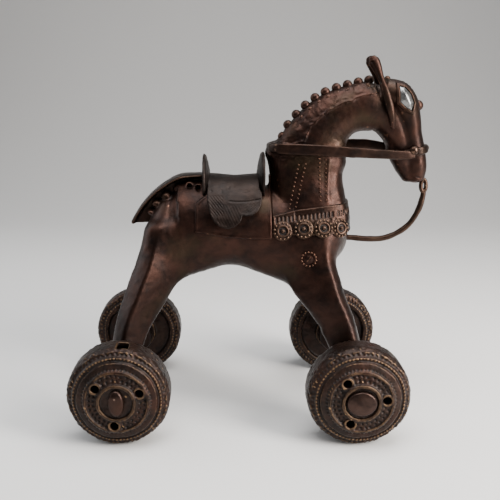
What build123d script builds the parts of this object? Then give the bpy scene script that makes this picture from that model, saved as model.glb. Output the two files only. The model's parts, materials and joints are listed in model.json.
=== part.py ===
from build123d import *
import math
import os

# Bronze toy horse on wheels, cast in pieces round two turning axles.
# Frame: +X towards the head, +Y towards the horse's left side, +Z up, wheels standing on Z = 0.
# Side outlines are drawn from the point midway between the axles, mid_x behind the origin.

# ---- driving dimensions, mm ----
wheel_radius = 22.0
wheelbase = 102.0
track = 81.0
mid_x = -6.95
rod_radius = 2.5
running_clearance = 0.06
end_float = 0.4
hub_half_width = 8.6
lug_radius = 7.5
lug_width = 8.0
cloth_thickness = 1.0
flap_thickness = 1.3
collar_thickness = 1.0
strap_thickness = 1.5
strap_height = 4.8
wire_radius = 1.2
bead_radius = 2.0
poll_knob_radius = 1.5
forehead_boss_radius = 2.4
noseband_knob_radius = 1.9
pillar_radius = 1.6

bore_radius = rod_radius + running_clearance
axle_height = wheel_radius
hub_face = track / 2 - hub_half_width
lug_outer_face = hub_face - end_float
head_inner_face = track / 2 + hub_half_width + end_float

os.makedirs("parts", exist_ok=True)


def side_plane(y=0.0):
    """Upright fore-and-aft plane: local x is forward of mid-wheelbase, local y is height."""
    return Plane(origin=(mid_x, y, 0), x_dir=(1, 0, 0), z_dir=(0, -1, 0))


def level_plane(x, y, z):
    """Horizontal plane with its origin x ahead of mid-wheelbase."""
    return Plane(origin=(mid_x + x, y, z), x_dir=(1, 0, 0), z_dir=(0, 0, 1))


def tilted_plane(x, z, pitch):
    """Plane square to a path that climbs forward at pitch degrees; local x lies across the horse."""
    rise = math.radians(pitch)
    return Plane(origin=(mid_x + x, 0, z), x_dir=(0, 1, 0), z_dir=(math.cos(rise), 0, math.sin(rise)))


def axle_axis(x):
    """Line of an axle that is x ahead of mid-wheelbase."""
    return Axis((mid_x + x, 0, axle_height), (0, 1, 0))


def finish_piece(piece, name):
    """Label one finished piece and write it."""
    piece.part.label = name
    export_step(piece.part, f"parts/{name}.step")


# ---- trunk and legs ----
# Each station of the trunk: forward of mid-wheelbase, height of centre, half height, half width.
trunk_stations = [
    (-41.4, 82.0, 8.0, 8.0),
    (-39.0, 83.0, 13.0, 12.0),
    (-34.0, 84.5, 18.0, 15.5),
    (-25.0, 84.9, 22.0, 17.0),
    (-17.0, 86.8, 21.4, 17.2),
    (-8.0, 87.7, 20.0, 17.2),
    (2.0, 87.1, 19.3, 17.2),
    (14.0, 84.7, 20.1, 17.3),
    (26.0, 82.4, 21.8, 17.5),
    (38.0, 84.5, 18.5, 17.0),
    (45.4, 85.5, 14.0, 13.5),
    (50.2, 87.0, 8.0, 7.5),
]
# Each station of a leg: forward, out from the centre plane, height, half length, half thickness.
rear_leg_stations = [
    (-32.0, 8.0, 84.0, 9.0, 7.0),
    (-34.0, 12.0, 70.0, 12.2, 6.5),
    (-41.0, 17.5, 58.0, 10.0, 6.0),
    (-46.5, 22.0, 46.5, 8.2, 5.0),
    (-49.0, 24.5, 36.0, 7.6, 4.4),
    (-51.0, 27.4, 22.0, 7.2, 4.0),
]
front_leg_stations = [
    (31.0, 8.0, 84.0, 11.0, 7.0),
    (32.4, 12.5, 70.0, 11.6, 6.5),
    (37.4, 17.5, 58.0, 10.0, 6.0),
    (43.6, 22.0, 46.5, 8.4, 5.0),
    (48.0, 24.5, 36.0, 7.3, 4.4),
    (51.0, 27.4, 22.0, 7.2, 4.0),
]


def oval(plane, half_x, half_y):
    """An ellipse on a plane, as one section of a loft."""
    with BuildSketch(plane) as section:
        Ellipse(half_x, half_y)
    return section.sketch


def trunk_sections(stations, growth=0.0):
    """Upright ovals along the trunk, each grown outwards."""
    return [
        oval(tilted_plane(x, z, 0), half_width + growth, half_height + growth)
        for x, z, half_height, half_width in stations
    ]


def leg_sections(stations, side):
    """Level ovals down one leg."""
    return [
        oval(level_plane(x, side * y, z), half_length, half_thickness)
        for x, y, z, half_length, half_thickness in stations
    ]


# ---- neck and head ----
# Each station: forward, height, pitch of the path, half depth across the path, half width.
neck_stations = [
    (33.5, 88.0, 90, 18.0, 15.0),
    (32.6, 96.0, 90, 17.2, 13.6),
    (32.2, 104.0, 90, 16.8, 11.6),
    (31.0, 112.0, 88, 16.6, 9.6),
    (29.9, 119.2, 84, 17.6, 8.8),
    (33.6, 124.2, 79, 14.4, 8.6),
    (36.6, 129.6, 67, 13.6, 8.4),
    (40.4, 133.8, 56, 12.2, 8.2),
    (48.7, 138.6, 35, 11.0, 8.0),
    (58.5, 140.4, 8, 10.6, 8.4),
    (66.5, 139.6, -10, 12.2, 9.4),
    (72.4, 133.5, -32, 11.6, 9.2),
    (74.3, 126.8, -54, 9.5, 7.8),
    (75.6, 123.2, -66, 8.8, 7.2),
    (76.4, 119.9, -75, 8.2, 6.6),
    (78.2, 114.2, -79, 6.8, 5.8),
    (79.5, 109.2, -78, 5.2, 4.6),
    (79.8, 106.2, -83, 3.4, 3.2),
]


def neck_sections(stations, growth=0.0):
    """Ovals square to the curved line of the neck and head, each grown outwards."""
    return [
        oval(tilted_plane(x, z, pitch), half_width + growth, half_depth + growth)
        for x, z, pitch, half_depth, half_width in stations
    ]


# The line turns through more than a half turn, so it is lofted as neck, crest and face.
neck_end = 8
crest_end = 12

with BuildPart() as neck_and_head:
    loft(neck_sections(neck_stations[:neck_end]), ruled=True)
    loft(neck_sections(neck_stations[neck_end - 1:crest_end]), ruled=True)
    loft(neck_sections(neck_stations[crest_end - 1:]), ruled=True)

with BuildPart() as trunk_and_legs:
    loft(trunk_sections(trunk_stations))
    for side in (-1, 1):
        for stations in (rear_leg_stations, front_leg_stations):
            loft(leg_sections(stations, side))
    for x in (-wheelbase / 2, wheelbase / 2):
        for side in (-1, 1):
            lug_middle = lug_outer_face - lug_width / 2
            with Locations(Location((mid_x + x, side * lug_middle, axle_height), (90, 0, 0))):
                Cylinder(lug_radius, lug_width)
        with Locations(Location((mid_x + x, 0, axle_height), (90, 0, 0))):
            Cylinder(bore_radius, track, mode=Mode.SUBTRACT)
    add(neck_and_head.part, mode=Mode.SUBTRACT)


# Solids a little larger than the horse, which wrapped pieces are cut from.
with BuildPart() as trunk_under_cloth:
    loft(trunk_sections(trunk_stations, cloth_thickness))

with BuildPart() as trunk_under_collar:
    loft(trunk_sections(trunk_stations, collar_thickness))
    loft(neck_sections(neck_stations[:3], collar_thickness), ruled=True)

# ---- saddle: cloth, seat, flaps, pommel and cantle ----
cloth_outline = [
    (-18.8, 115.0),
    (-18.8, 86.8),
    (-5.0, 84.8),
    (14.6, 84.3),
    (14.6, 115.0),
]
seat_bottom = 102.0
# Each station of the seat's arch: forward, height of centre, half height, half width.
seat_stations = [
    (-18.0, 87.8, 23.8, 19.6),
    (-2.0, 87.8, 22.9, 19.6),
    (14.0, 87.8, 23.8, 19.6),
]
seat_rear = -13.2
seat_front = 8.6
rear_lobe = [(seat_rear, seat_bottom), (-12.6, 97.6), (-10.2, 92.2), (-4.4, 89.1), (0.8, 92.0), (1.9, 95.2)]
front_lobe = [(1.9, 95.2), (5.4, 95.0), (9.2, 97.2), (seat_front, seat_bottom)]

with BuildPart() as saddlecloth:
    add(trunk_under_cloth.part)
    with BuildSketch(side_plane()):
        with BuildLine():
            Polyline(*cloth_outline, close=True)
        make_face()
    extrude(amount=track, both=True, mode=Mode.INTERSECT)
    add(trunk_and_legs.part, mode=Mode.SUBTRACT)
    add(neck_and_head.part, mode=Mode.SUBTRACT)

with BuildPart() as saddle_seat:
    loft(trunk_sections(seat_stations))
    with BuildSketch(side_plane()):
        with Locations(((seat_rear + seat_front) / 2, seat_bottom)):
            Rectangle(seat_front - seat_rear, track, align=(Align.CENTER, Align.MIN))
    extrude(amount=track, both=True, mode=Mode.INTERSECT)
    add(trunk_under_cloth.part, mode=Mode.SUBTRACT)


def make_flap(side):
    """Lobed flap hanging below the seat on one side: a large rear lobe and a small front one."""
    with BuildPart() as flap:
        loft(trunk_sections(trunk_stations, cloth_thickness + flap_thickness))
        with BuildSketch(side_plane()):
            with BuildLine():
                Line((seat_front, seat_bottom), (seat_rear, seat_bottom))
                Spline(*rear_lobe)
                Spline(*front_lobe)
            make_face()
        extrude(amount=-side * track, mode=Mode.INTERSECT)
        add(trunk_under_cloth.part, mode=Mode.SUBTRACT)
    return flap


def make_saddle_plate(x, top, half_width, foot, thickness):
    """Upright rounded plate that straddles the back."""
    with BuildPart() as plate:
        with BuildSketch(tilted_plane(x, foot, 0)):
            Ellipse(half_width, top - foot)
            with Locations((0, -top)):
                Rectangle(track, 2 * top, mode=Mode.SUBTRACT)
        extrude(amount=thickness / 2, both=True)
        add(trunk_under_cloth.part, mode=Mode.SUBTRACT)
        add(neck_and_head.part, mode=Mode.SUBTRACT)
    return plate


saddle_flap_left = make_flap(1)
saddle_flap_right = make_flap(-1)
plate_thickness = 2.6
cantle_top = 119.7
cantle_half_width = 14.2
cantle_foot = 101.0
pommel_top = 120.4
pommel_half_width = 13.4
pommel_foot = 102.0
cantle_x = seat_rear - plate_thickness / 2
pommel_x = seat_front + plate_thickness / 2
cantle = make_saddle_plate(cantle_x, cantle_top, cantle_half_width, cantle_foot, plate_thickness)
pommel = make_saddle_plate(pommel_x, pommel_top, pommel_half_width, pommel_foot, plate_thickness)

# ---- tail leaf: a pointed strip that stands clear of the rump on short pillars ----
leaf_root = seat_rear - plate_thickness
leaf_top = [(leaf_root, 111.0), (-22.0, 110.6), (-30.6, 107.3), (-39.9, 98.8), (-48.2, 87.8)]
leaf_under = [(-48.2, 87.8), (-40.6, 96.4), (-31.2, 105.4), (-22.3, 108.9), (leaf_root, 109.3)]
leaf_half_width = 6.5
leaf_root_half_width = 4.5
leaf_tip = -49.0
leaf_widest = -30.0
leaf_pillars = [(-21.0, 110.0), (-29.5, 106.6), (-37.0, 100.2)]
pillar_length = 8.0
below_leaf = 80.0
above_leaf = 120.0

with BuildPart() as tail_leaf:
    with BuildSketch(side_plane()):
        with BuildLine():
            Spline(*leaf_top)
            Spline(*leaf_under)
            Line(leaf_under[-1], leaf_top[0])
        make_face()
    extrude(amount=track, both=True)
    with BuildSketch(level_plane(0, 0, below_leaf)):
        with BuildLine():
            Line((leaf_root, -leaf_root_half_width), (leaf_root, leaf_root_half_width))
            Spline((leaf_root, leaf_root_half_width), (leaf_widest, leaf_half_width), (leaf_tip, 0.0))
            Spline((leaf_tip, 0.0), (leaf_widest, -leaf_half_width), (leaf_root, -leaf_root_half_width))
        make_face()
    extrude(amount=above_leaf - below_leaf, mode=Mode.INTERSECT)
    for x, top in leaf_pillars:
        with BuildSketch(level_plane(x, 0, top)):
            Circle(pillar_radius)
        extrude(amount=-pillar_length)
    add(trunk_and_legs.part, mode=Mode.SUBTRACT)
    add(saddlecloth.part, mode=Mode.SUBTRACT)

# ---- head details ----
bead_places = [
    (19.9, 127.3),
    (22.2, 132.4),
    (25.8, 136.9),
    (29.7, 140.9),
    (33.9, 144.1),
    (38.3, 146.6),
    (43.1, 148.4),
    (47.9, 149.7),
    (52.6, 150.8),
    (57.2, 151.6),
]

with BuildPart() as mane_beads:
    for x, z in bead_places:
        with Locations((mid_x + x, 0, z)):
            Sphere(bead_radius)
    add(neck_and_head.part, mode=Mode.SUBTRACT)

ear_stations = [
    (63.6, 5.4, 147.0, 1.9, 1.6),
    (61.8, 4.6, 153.0, 1.7, 1.4),
    (60.2, 4.1, 157.0, 2.5, 1.7),
    (58.8, 3.8, 160.0, 3.0, 1.8),
    (58.2, 3.7, 161.8, 1.6, 1.0),
]
eye_outline = [(68.3, 149.6), (70.6, 149.2), (73.9, 145.4), (74.8, 142.3), (73.2, 139.3), (68.7, 143.1)]
eye_outer_face = 8.4


def make_ear(side):
    """Spoon-shaped ear that leans back from the poll."""
    with BuildPart() as ear:
        loft(leg_sections(ear_stations, side))
        add(neck_and_head.part, mode=Mode.SUBTRACT)
    return ear


def make_eye(side):
    """Raised almond plate on one side of the head."""
    with BuildPart() as eye:
        with BuildSketch(side_plane(side * eye_outer_face)):
            with BuildLine():
                Polyline(*eye_outline, close=True)
            make_face()
        extrude(amount=side * eye_outer_face)
        add(neck_and_head.part, mode=Mode.SUBTRACT)
    return eye


def make_knobs(places, radius):
    """Small round knobs standing on the head, each given as forward, left and height."""
    with BuildPart() as knobs:
        for x, y, z in places:
            with Locations((mid_x + x, y, z)):
                Sphere(radius)
        add(neck_and_head.part, mode=Mode.SUBTRACT)
    return knobs


ear_left = make_ear(1)
ear_right = make_ear(-1)
eye_left = make_eye(1)
eye_right = make_eye(-1)
poll_knob = make_knobs([(65.2, 0, 152.0)], poll_knob_radius)
forehead_boss = make_knobs([(78.8, 0, 140.7)], forehead_boss_radius)

# ---- bridle: reins, noseband and its knobs ----
rein_rear = (12.6, 123.4)
rein_front = (72.0, 119.8)
rein_run = rein_front[0] - rein_rear[0]
rein_pitch = math.degrees(math.atan2(rein_front[1] - rein_rear[1], rein_run))
rein_line = [(0.0, 0.0), (1.6, 4.6), (8.0, 8.9), (21.0, 10.4), (40.0, 10.0), (rein_run, 9.0)]
rein_path_plane = Plane(
    origin=(mid_x + rein_rear[0], 0, rein_rear[1]),
    x_dir=(math.cos(math.radians(rein_pitch)), 0, math.sin(math.radians(rein_pitch))),
    z_dir=(-math.sin(math.radians(rein_pitch)), 0, math.cos(math.radians(rein_pitch))),
)


def make_rein(side):
    """Flat strip from behind the withers, along one side of the neck, to the noseband."""
    with BuildPart() as rein:
        with BuildSketch(rein_path_plane):
            with BuildLine():
                Spline(*[(along, side * out) for along, out in rein_line])
            trace(line_width=strap_thickness)
        extrude(amount=strap_height / 2, both=True)
        with BuildSketch(side_plane()):
            with Locations((rein_front[0], rein_front[1])):
                Rectangle(2 * track, 2 * track, align=(Align.MAX, Align.CENTER))
        extrude(amount=track / 2, both=True, mode=Mode.INTERSECT)
        with BuildSketch(side_plane()):
            Rectangle(4 * track, 4 * track)
        extrude(amount=side * track, mode=Mode.SUBTRACT)
        add(neck_and_head.part, mode=Mode.SUBTRACT)
    return rein


rein_left = make_rein(1)
rein_right = make_rein(-1)

noseband_outline = [(72.0, 117.9), (72.0, 121.7), (88.0, 124.9), (88.0, 120.9)]

with BuildPart() as noseband:
    loft(neck_sections(neck_stations[crest_end - 1:], strap_thickness), ruled=True)
    with BuildSketch(side_plane()):
        with BuildLine():
            Polyline(*noseband_outline, close=True)
        make_face()
    extrude(amount=track, both=True, mode=Mode.INTERSECT)
    add(neck_and_head.part, mode=Mode.SUBTRACT)

noseband_knob_places = [(84.2, 0.0, 122.0), (77.6, 7.4, 121.8), (77.6, -7.4, 121.8)]

with BuildPart() as noseband_knobs:
    for x, y, z in noseband_knob_places:
        with Locations((mid_x + x, y, z)):
            Sphere(noseband_knob_radius)
    add(neck_and_head.part, mode=Mode.SUBTRACT)
    add(noseband.part, mode=Mode.SUBTRACT)

# ---- breast collar and rosettes ----
collar_outline = [(14.6, 84.6), (14.6, 94.4), (26.6, 96.9), (39.5, 98.6), (56.0, 99.4), (56.0, 84.6)]

with BuildPart() as breast_collar:
    add(trunk_under_collar.part)
    with BuildSketch(side_plane()):
        with BuildLine():
            Polyline(*collar_outline, close=True)
        make_face()
    extrude(amount=track, both=True, mode=Mode.INTERSECT)
    add(trunk_and_legs.part, mode=Mode.SUBTRACT)
    add(neck_and_head.part, mode=Mode.SUBTRACT)
    add(saddlecloth.part, mode=Mode.SUBTRACT)

# Each rosette: forward, height, distance out of its face, angle it faces ahead of square, radius.
collar_rosette_places = [
    (19.6, 88.9, 19.6, 0, 3.7),
    (28.5, 89.3, 19.5, 2, 3.7),
    (37.2, 89.5, 19.2, 10, 3.7),
    (45.4, 89.0, 17.4, 38, 3.6),
]
shoulder_rosette_place = (31.0, 75.6, 18.4, 2, 3.2)
rosette_depth = 6.0


def rosette_disc(place, side):
    """Short round boss whose face points out of one side of the horse, turned a little forward."""
    x, z, reach, angle, radius = place
    turn = math.radians(angle)
    outward = Vector(math.sin(turn), side * math.cos(turn), 0)
    root = Vector(mid_x + x, 0, z) + Vector(0, side * reach, 0) - outward * rosette_depth
    plane = Plane(origin=root, x_dir=(0, 0, 1), z_dir=outward)
    with BuildPart() as disc:
        with BuildSketch(plane):
            Circle(radius)
        extrude(amount=rosette_depth)
    return disc.part


def make_rosettes(places, sides):
    """Bosses standing on the collar or the shoulder."""
    with BuildPart() as rosettes:
        for place in places:
            for side in sides:
                add(rosette_disc(place, side))
        add(trunk_and_legs.part, mode=Mode.SUBTRACT)
        add(neck_and_head.part, mode=Mode.SUBTRACT)
        add(breast_collar.part, mode=Mode.SUBTRACT)
    return rosettes


collar_rosettes = make_rosettes(collar_rosette_places, (-1, 1))
shoulder_rosette_left = make_rosettes([shoulder_rosette_place], [1])
shoulder_rosette_right = make_rosettes([shoulder_rosette_place], [-1])

# ---- lead wire and chin ring ----
wire_route = [(45.0, 80.6), (66.5, 79.8), (77.1, 84.5), (83.2, 96.0), (84.4, 103.4)]
wire_bends = [23.0, 14.0, 22.0]
ring_centre = (84.0, 105.6)
ring_radius = 1.95
ring_wire_radius = 0.95

with BuildPart() as chin_ring:
    with Locations(Location((mid_x + ring_centre[0], 0, ring_centre[1]), (90, 0, 0))):
        Torus(ring_radius, ring_wire_radius)
    add(neck_and_head.part, mode=Mode.SUBTRACT)

with BuildPart() as lead_wire:
    with BuildLine(side_plane()) as wire_line:
        FilletPolyline(*wire_route, radius=wire_bends)
    with BuildSketch(Plane(origin=wire_line.line @ 0, z_dir=wire_line.line % 0)):
        Circle(wire_radius)
    sweep(path=wire_line.line)
    add(trunk_and_legs.part, mode=Mode.SUBTRACT)
    add(breast_collar.part, mode=Mode.SUBTRACT)
    add(neck_and_head.part, mode=Mode.SUBTRACT)
    add(chin_ring.part, mode=Mode.SUBTRACT)

# ---- axles ----
head_height = 2.4
head_edge = 1.0


def make_axle(x, head_half_length, head_half_height):
    """Round rod through both lugs and both wheels, with a domed oval head hammered at each end."""
    with BuildPart() as axle:
        with Locations(Location((mid_x + x, 0, axle_height), (90, 0, 0))):
            Cylinder(rod_radius, 2 * head_inner_face)
        for side in (-1, 1):
            end_plane = Plane(
                origin=(mid_x + x, side * head_inner_face, axle_height),
                x_dir=(1, 0, 0),
                z_dir=(0, side, 0),
            )
            with BuildSketch(end_plane):
                Ellipse(head_half_length, head_half_height)
            extrude(amount=head_height)
            outer_face = axle.faces().sort_by(Axis.Y)[0 if side < 0 else -1]
            fillet(outer_face.edges(), head_edge)
    return axle


rear_axle = make_axle(-wheelbase / 2, 3.4, 5.8)
front_axle = make_axle(wheelbase / 2, 6.3, 5.4)

# ---- wheels ----
# Wheel sections: radius from the axle, distance from the wheel's middle plane.
outer_profile = [
    (bore_radius, hub_half_width),
    (6.8, hub_half_width),
    (7.1, 9.9),
    (8.1, 9.9),
    (8.6, 8.7),
    (12.6, 8.3),
    (13.0, 9.0),
    (13.8, 8.8),
    (14.2, 7.4),
    (15.2, 7.7),
    (16.8, 7.2),
    (17.4, 5.7),
    (18.6, 6.0),
    (19.3, 4.9),
    (20.8, 4.3),
    (21.6, 3.1),
    (wheel_radius, 1.4),
]
inner_profile = [
    (bore_radius, hub_half_width),
    (8.4, hub_half_width),
    (9.0, 6.6),
    (15.6, 6.4),
    (16.4, 8.1),
    (17.8, 8.3),
    (18.4, 7.3),
    (19.2, 7.3),
    (19.7, 7.9),
    (20.7, 7.6),
    (21.5, 6.8),
    (wheel_radius, 5.6),
]
hub_tube_radius = 4.8
cavity_outer_profile = [(hub_tube_radius, 6.6), (12.8, 6.3), (16.4, 4.6), (19.6, 2.4)]
cavity_inner_profile = [(hub_tube_radius, 4.8), (16.0, 4.6), (20.0, 4.4)]
sound_hole_radius = 1.9
sound_hole_circle = 10.6
slot_length = 4.6
slot_width = 6.0
slot_inset = 0.9


def wheel_section(outer, inner, side):
    """Closed section from the outer profile round to the inner one; side is the outward direction."""
    outer_points = [(radius, side * width) for radius, width in outer]
    inner_points = [(radius, -side * width) for radius, width in reversed(inner)]
    return outer_points + inner_points


def make_wheel(x, side, hole_start, slot_angle):
    """Hollow drum wheel: pierced outer disc, hub tube, stepped rim and a slot through the tread."""
    middle = Vector(mid_x + x, side * track / 2, axle_height)
    section_plane = Plane(origin=middle, x_dir=(1, 0, 0), z_dir=(0, 0, 1))
    disc_plane = Plane(origin=middle, x_dir=(1, 0, 0), z_dir=(0, side, 0))
    slot_turn = math.radians(slot_angle)
    slot_plane = Plane(
        origin=middle - Vector(0, side * slot_inset, 0),
        x_dir=(0, 1, 0),
        z_dir=(math.cos(slot_turn), 0, math.sin(slot_turn)),
    )
    with BuildPart() as wheel:
        with BuildSketch(section_plane):
            with BuildLine():
                Polyline(*wheel_section(outer_profile, inner_profile, side), close=True)
            make_face()
        revolve(axis=axle_axis(x))
        with BuildSketch(section_plane):
            with BuildLine():
                Polyline(*wheel_section(cavity_outer_profile, cavity_inner_profile, side), close=True)
            make_face()
        revolve(axis=axle_axis(x), mode=Mode.SUBTRACT)
        with BuildSketch(disc_plane):
            with PolarLocations(sound_hole_circle, 3, start_angle=hole_start):
                Circle(sound_hole_radius)
        extrude(amount=2 * hub_half_width, mode=Mode.SUBTRACT)
        with BuildSketch(slot_plane):
            Rectangle(slot_width, slot_length)
        extrude(amount=2 * wheel_radius, mode=Mode.SUBTRACT)
    return wheel


wheel_places = {
    "wheel_rear_right": (-wheelbase / 2, -1, 144, 84),
    "wheel_rear_left": (-wheelbase / 2, 1, 60, 200),
    "wheel_front_right": (wheelbase / 2, -1, 126, 300),
    "wheel_front_left": (wheelbase / 2, 1, 15, 250),
}

pieces = {
    "trunk_and_legs": trunk_and_legs,
    "neck_and_head": neck_and_head,
    "saddlecloth": saddlecloth,
    "saddle_seat": saddle_seat,
    "saddle_flap_left": saddle_flap_left,
    "saddle_flap_right": saddle_flap_right,
    "cantle": cantle,
    "pommel": pommel,
    "tail_leaf": tail_leaf,
    "mane_beads": mane_beads,
    "ear_left": ear_left,
    "ear_right": ear_right,
    "eye_left": eye_left,
    "eye_right": eye_right,
    "poll_knob": poll_knob,
    "forehead_boss": forehead_boss,
    "rein_left": rein_left,
    "rein_right": rein_right,
    "noseband": noseband,
    "noseband_knobs": noseband_knobs,
    "breast_collar": breast_collar,
    "collar_rosettes": collar_rosettes,
    "shoulder_rosette_left": shoulder_rosette_left,
    "shoulder_rosette_right": shoulder_rosette_right,
    "chin_ring": chin_ring,
    "lead_wire": lead_wire,
    "rear_axle": rear_axle,
    "front_axle": front_axle,
}
for name, place in wheel_places.items():
    pieces[name] = make_wheel(*place)

for name, piece in pieces.items():
    finish_piece(piece, name)
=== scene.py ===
import json
import math

import bpy
import numpy as np
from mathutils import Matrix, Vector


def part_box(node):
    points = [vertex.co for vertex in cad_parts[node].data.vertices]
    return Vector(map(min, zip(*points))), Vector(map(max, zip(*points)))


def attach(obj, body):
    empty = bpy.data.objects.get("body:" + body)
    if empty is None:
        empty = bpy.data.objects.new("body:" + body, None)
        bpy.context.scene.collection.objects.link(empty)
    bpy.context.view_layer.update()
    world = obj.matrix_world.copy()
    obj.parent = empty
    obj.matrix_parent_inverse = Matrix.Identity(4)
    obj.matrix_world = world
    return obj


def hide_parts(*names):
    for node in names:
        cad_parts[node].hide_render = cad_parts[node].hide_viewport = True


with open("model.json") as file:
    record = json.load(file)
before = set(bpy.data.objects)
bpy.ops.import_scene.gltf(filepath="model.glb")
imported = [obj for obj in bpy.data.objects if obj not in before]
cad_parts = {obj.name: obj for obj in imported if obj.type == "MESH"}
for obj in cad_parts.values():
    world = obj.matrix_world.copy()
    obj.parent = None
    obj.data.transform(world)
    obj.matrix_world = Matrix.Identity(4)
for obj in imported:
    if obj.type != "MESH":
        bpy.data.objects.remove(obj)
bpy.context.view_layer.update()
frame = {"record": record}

import openvdb
from mathutils import Vector

# A cast bronze toy horse on four turning wheels. Lengths in this script are millimetres, measured
# forward from the point midway between the axles (x), to the horse's left (y) and up (z).
# place() turns them into the frame's metres.
MM = 0.001

joints = {joint["name"]: joint for joint in frame["record"]["behaviour"]["joints"]}
rear_axle_x = joints["rear_axle_turn"]["pos_m"][0]
front_axle_x = joints["front_axle_turn"]["pos_m"][0]
MID_X = (rear_axle_x + front_axle_x) / 2
AXLE_HEIGHT = joints["rear_axle_turn"]["pos_m"][2] / MM
HALF_BASE = (front_axle_x - rear_axle_x) / 2 / MM


def place(points):
    """Millimetres from mid-wheelbase to metres in the frame."""
    moved = np.array(points, dtype=np.float64) * MM
    moved[..., 0] += MID_X
    return moved


def node_box(name):
    """A CAD node's lowest and highest corners in this script's millimetres."""
    shift = np.array([MID_X, 0, 0])
    return [(np.array(corner) - shift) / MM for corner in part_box(name)]


# ---- camera, floor and light ----
CAMERA_PLACE = (-6.6, -315.0, 155.3)
CAMERA_PITCH = 14.3
LENS = 50.4
SENSOR_WIDTH = 36.0
CAMERA_SHIFT = 0.054
FLOOR_COLOR = (0.6, 0.59, 0.58, 1)
FLOOR_ROUGHNESS = 0.8
WORLD_COLOR = (0.78, 0.8, 0.83, 1)
WORLD_STRENGTH = 0.24


def add_object(name, data):
    """New object in the scene that shows a mesh, light or camera."""
    item = bpy.data.objects.new(name, data)
    bpy.context.scene.collection.objects.link(item)
    return item


def add_camera():
    """The photograph's viewing angle."""
    data = bpy.data.cameras.new("camera")
    data.sensor_width = SENSOR_WIDTH
    data.lens = LENS
    data.shift_x = CAMERA_SHIFT
    data.clip_start = 0.01
    camera = add_object("camera", data)
    camera.location = place(CAMERA_PLACE)
    camera.rotation_euler = (math.radians(90 - CAMERA_PITCH), 0, 0)
    bpy.context.scene.camera = camera


def add_floor():
    """Plain pale floor that curves up behind the object; sizes in metres."""
    half_width, back, bend, bend_steps = 1.6, 0.9, 0.5, 16
    profile = [(-half_width, 0.0), (back - bend, 0.0)]
    for step in range(1, bend_steps + 1):
        turn = math.radians(90 * step / bend_steps)
        profile.append((back - bend + bend * math.sin(turn), bend - bend * math.cos(turn)))
    profile.append((back, half_width))
    verts = []
    for y, z in profile:
        verts += [(-half_width, y, z), (half_width, y, z)]
    faces = [(2 * i, 2 * i + 1, 2 * i + 3, 2 * i + 2) for i in range(len(profile) - 1)]
    mesh = bpy.data.meshes.new("floor")
    mesh.from_pydata(verts, [], faces)
    for polygon in mesh.polygons:
        polygon.use_smooth = True
    material = bpy.data.materials.new("floor_paper")
    material.use_nodes = True
    shader = material.node_tree.nodes["Principled BSDF"]
    shader.inputs["Base Color"].default_value = FLOOR_COLOR
    shader.inputs["Roughness"].default_value = FLOOR_ROUGHNESS
    mesh.materials.append(material)
    add_object("floor", mesh)


def add_light(name, location, target, size, energy, color):
    """Soft rectangular light aimed at a point; places in millimetres, size in metres."""
    data = bpy.data.lights.new(name, "AREA")
    data.shape = "RECTANGLE"
    data.size = size[0]
    data.size_y = size[1]
    data.energy = energy
    data.color = color
    light = add_object(name, data)
    light.location = place(location)
    aim = Vector(place(target)) - light.location
    light.rotation_euler = aim.to_track_quat("-Z", "Y").to_euler()


def add_world():
    """Faint even light from all round."""
    world = bpy.data.worlds.new("studio")
    world.use_nodes = True
    background = world.node_tree.nodes["Background"]
    background.inputs["Color"].default_value = WORLD_COLOR
    background.inputs["Strength"].default_value = WORLD_STRENGTH
    bpy.context.scene.world = world


add_camera()
add_floor()
add_light("window_left", (-420, 60, 300), (0, 0, 80), (0.4, 0.5), 1.8, (0.93, 0.97, 1.0))
add_light("front_right", (380, -230, 240), (0, 0, 70), (0.16, 0.4), 7.0, (1.0, 0.96, 0.91))
add_light("overhead", (60, -80, 520), (0, 0, 60), (0.6, 0.3), 5.0, (1.0, 1.0, 1.0))
add_world()

# ---- distance fields: negative inside, zero on the surface, positive outside ----
FAR = 9.0
BAND = 3.0
POINTS_AT_ONCE = 100000


def smooth_min(a, b, width):
    """Union of two distance fields with a fillet about width across."""
    mix = np.clip(0.5 + 0.5 * (b - a) / width, 0, 1)
    return b * (1 - mix) + a * mix - width * mix * (1 - mix)


def smooth_max(a, b, width):
    """Overlap of two distance fields with rounded edges."""
    return -smooth_min(-a, -b, width)


def ease(value):
    """Smooth step from 0 to 1."""
    t = np.clip(value, 0, 1)
    return t * t * (3 - 2 * t)


def between(value, span, fade):
    """1 inside a span of two ends, easing to 0 over the fade inside each end."""
    return ease((span[1] - value) / fade) * ease((value - span[0]) / fade)


def through(points, count):
    """Catmull-Rom curve through rows of numbers, count steps to each span."""
    rows = np.asarray(points, dtype=float)
    padded = np.vstack([2 * rows[0] - rows[1], rows, 2 * rows[-1] - rows[-2]])
    out = []
    for i in range(1, len(padded) - 2):
        a, b, c, d = padded[i - 1], padded[i], padded[i + 1], padded[i + 2]
        for t in np.arange(count) / count:
            out.append(0.5 * (2 * b + (c - a) * t + (2 * a - 5 * b + 4 * c - d) * t * t
                              + (3 * b - a - 3 * c + d) * t ** 3))
    out.append(rows[-1])
    return np.array(out)


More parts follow.
